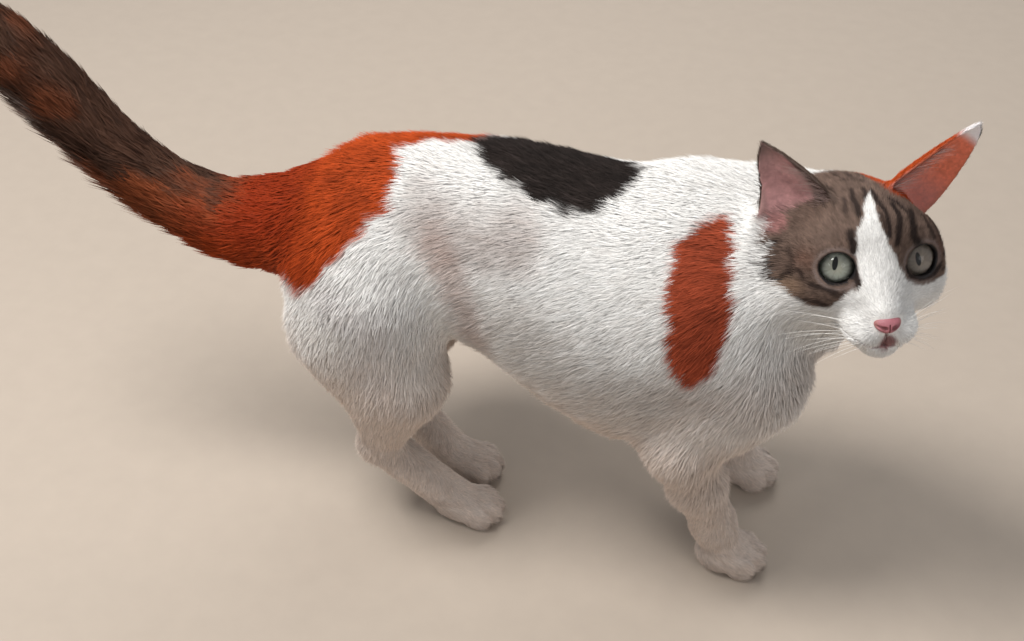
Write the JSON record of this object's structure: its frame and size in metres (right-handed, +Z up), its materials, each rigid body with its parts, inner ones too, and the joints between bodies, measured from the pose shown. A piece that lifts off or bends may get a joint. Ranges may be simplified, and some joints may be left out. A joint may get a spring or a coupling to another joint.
{
  "type": "life-size domestic shorthair cat model",
  "caption": "Still, life-size model of a calico domestic shorthair cat that stands on its four paws, head turned to its right and bushy tail raised behind.",
  "frame": {"origin": "on the floor, under the middle of the bounding box", "axes": "+X the way the trunk faces, from tail to chest, +Y to the cat's left, +Z up; the head is turned towards -Y"},
  "size_m": [0.5926, 0.151, 0.3282],
  "materials": {
    "white_coat": "short white fur",
    "orange_coat": "short orange fur",
    "dark_coat": "longer brown-black fur",
    "tabby_coat": "short grey-brown fur with dark stripes",
    "nose_skin": "bare damp pink skin",
    "eye": "wet grey-green eyeball"
  },
  "bodies": {
    "root": {"torso": "white_coat", "neck": "white_coat", "head": "tabby_coat", "ear_right": "tabby_coat", "ear_left": "orange_coat", "nose": "nose_skin", "eye_right": "eye", "eye_left": "eye", "tail_base": "orange_coat", "tail_middle": "dark_coat", "tail_tip": "dark_coat", "front_right_upper": "white_coat", "front_right_lower": "white_coat", "front_right_paw": "white_coat", "front_left_upper": "white_coat", "front_left_lower": "white_coat", "front_left_paw": "white_coat", "hind_right_upper": "white_coat", "hind_right_lower": "white_coat", "hind_right_paw": "white_coat", "hind_left_upper": "white_coat", "hind_left_lower": "white_coat", "hind_left_paw": "white_coat"}
  },
  "joints": []
}
